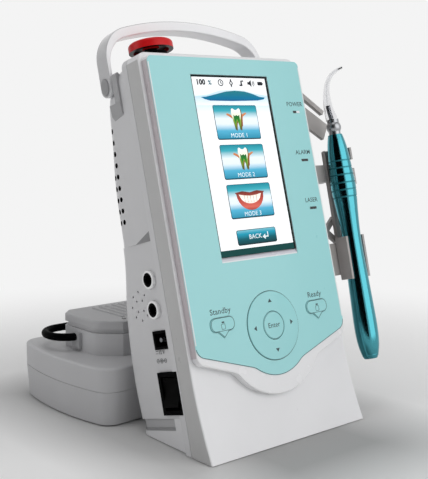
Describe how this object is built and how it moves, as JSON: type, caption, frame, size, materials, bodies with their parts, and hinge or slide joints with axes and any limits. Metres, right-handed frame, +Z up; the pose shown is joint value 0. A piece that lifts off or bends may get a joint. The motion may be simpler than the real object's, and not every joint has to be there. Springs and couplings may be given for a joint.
{
  "type": "dental diode laser console",
  "caption": "Leaning tabletop dental laser with colour display, key pad, carrying handle, stop button, clipped handpiece and separate foot pedal",
  "frame": {"origin": "on the floor, at the middle of the whole object's footprint, console and foot unit together", "axes": "+X to the console's right seen from the front, +Y to the rear, +Z up; the console's face looks towards -Y and leans back 15 degrees"},
  "size_m": [0.2114, 0.2272, 0.2965],
  "materials": {
    "white_shell": "smooth satin white moulding",
    "plate_white": "smooth glossy white moulding",
    "cyan_film": "pale turquoise printed film, semi-gloss",
    "display_glass": "clear glossy cover over a lit panel",
    "panel_frame": "folded tin plate",
    "clear_plastic": "clear moulded plastic",
    "circuit_board": "green board with matt resist",
    "steel": "plain steel",
    "grey_rubber": "matt moulded rubber",
    "battery_sleeve": "blue shrink sleeve",
    "aluminium_part": "machined aluminium",
    "black_plastic": "black moulded plastic, slight grain",
    "bright_metal": "polished plated metal",
    "red_plastic": "glossy red moulding",
    "handle_white": "smooth white moulding",
    "holder_grey": "warm grey moulding",
    "teal_metal": "turquoise anodised aluminium, polished",
    "pedal_grey": "light grey moulding with fine grain",
    "key_film": "pale turquoise key caps with dark print"
  },
  "bodies": {
    "console": {"front_housing": "white_shell", "front_plate": "plate_white", "front_overlay": "cyan_film", "lcd_glass": "display_glass", "lcd_module": "panel_frame", "indicator_lenses": "clear_plastic", "control_board": "circuit_board", "board_screws": "steel", "key_domes": "grey_rubber", "rear_housing": "white_shell", "base_skirt": "white_shell", "console_feet": "grey_rubber", "base_weight": "steel", "base_screws": "steel", "chassis_plate": "panel_frame", "battery_pack": "battery_sleeve", "laser_block": "aluminium_part", "heat_sink": "aluminium_part", "fan_frame": "black_plastic", "speaker_driver": "black_plastic", "socket_bodies": "black_plastic", "socket_rings": "bright_metal", "dc_jack": "black_plastic", "dc_jack_pin": "bright_metal", "switch_bezel": "black_plastic", "estop_collar": "black_plastic", "estop_contact_block": "black_plastic", "handle_pins": "steel", "handle_brackets": "white_shell", "holder_frame": "holder_grey", "holder_clip": "holder_grey", "holder_screws": "steel"},
    "handle_bail": {"handle": "handle_white", "handle_caps": "handle_white"},
    "rocker": {"power_rocker": "black_plastic"},
    "stop_plunger": {"estop_stem": "aluminium_part"},
    "stop_head": {"estop_head": "red_plastic"},
    "pad_carrier": {"dpad_carrier": "black_plastic"},
    "pad_ring": {"dpad_ring": "key_film"},
    "enter": {"enter_key": "key_film"},
    "standby": {"standby_key": "key_film"},
    "ready": {"ready_key": "key_film"},
    "fan_wheel": {"fan_rotor": "black_plastic"},
    "handpiece": {"handpiece_body": "teal_metal", "handpiece_neck": "bright_metal", "clear_tip": "clear_plastic", "tip_ferrule": "bright_metal", "tip_fibre": "black_plastic", "handpiece_end_cap": "teal_metal"},
    "foot_unit": {"pedal_base": "pedal_grey", "pedal_cover": "pedal_grey", "treadle_pin": "steel", "treadle_springs": "steel", "pedal_switch": "black_plastic", "carry_hoop": "black_plastic", "hoop_brackets": "pedal_grey", "pedal_feet": "grey_rubber", "pedal_screws": "steel"},
    "foot_plate": {"pedal_treadle": "pedal_grey", "pedal_lamp": "clear_plastic"}
  },
  "joints": [
    {"name": "handle_swing", "type": "hinge", "parent": "console", "child": "handle_bail", "pos_m": [-0.01303, 0.0013, 0.24509], "axis": [-1, 0, 0], "range_deg": [0, 110]},
    {"name": "power_switch", "type": "hinge", "parent": "console", "child": "rocker", "pos_m": [-0.08143, -0.06892, 0.03904], "axis": [0, -0.9659, 0.2588], "range_deg": [0, 14]},
    {"name": "stop_press", "type": "slide", "parent": "console", "child": "stop_plunger", "axis": [0, -0.2588, -0.9659], "range_m": [0, 0.004], "stiffness_N_per_m": 900, "springref_m": -0.001},
    {"name": "stop_twist", "type": "hinge", "parent": "stop_plunger", "child": "stop_head", "pos_m": [-0.05483, -0.00732, 0.27204], "axis": [0, 0.2588, 0.9659], "range_deg": [0, 45], "stiffness_Nm_per_rad": 0.02},
    {"name": "pad_tilt_up_down", "type": "hinge", "parent": "console", "child": "pad_carrier", "pos_m": [-0.01303, -0.08779, 0.07857], "axis": [1, 0, 0], "range_deg": [-1.5, 1.5], "stiffness_Nm_per_rad": 0.6},
    {"name": "pad_tilt_left_right", "type": "hinge", "parent": "pad_carrier", "child": "pad_ring", "pos_m": [-0.01303, -0.08851, 0.07877], "axis": [0, 0.2588, 0.9659], "range_deg": [-1.5, 1.5], "stiffness_Nm_per_rad": 0.6},
    {"name": "enter_press", "type": "slide", "parent": "console", "child": "enter", "axis": [0, 0.9659, -0.2588], "range_m": [0, 0.0007], "stiffness_N_per_m": 600},
    {"name": "standby_press", "type": "slide", "parent": "console", "child": "standby", "axis": [0, 0.9659, -0.2588], "range_m": [0, 0.0007], "stiffness_N_per_m": 600},
    {"name": "ready_press", "type": "slide", "parent": "console", "child": "ready", "axis": [0, 0.9659, -0.2588], "range_m": [0, 0.0007], "stiffness_N_per_m": 600},
    {"name": "fan_spin", "type": "hinge", "parent": "console", "child": "fan_wheel", "pos_m": [-0.07613, -0.02117, 0.18713], "axis": [1, 0, 0], "continuous": true},
    {"name": "handpiece_lift", "type": "slide", "parent": "console", "child": "handpiece", "axis": [0, -0.9659, 0.2588], "range_m": [0, 0.06]},
    {"name": "foot_unit_place", "type": "slide", "parent": "console", "child": "foot_unit", "axis": [0, 1, 0], "range_m": [0, 0.15]},
    {"name": "foot_plate_press", "type": "hinge", "parent": "foot_unit", "child": "foot_plate", "pos_m": [0.03297, 0.04897, 0.056], "axis": [0, -1, 0], "range_deg": [0, 1.5], "stiffness_Nm_per_rad": 30, "springref_deg": -0.23}
  ]
}
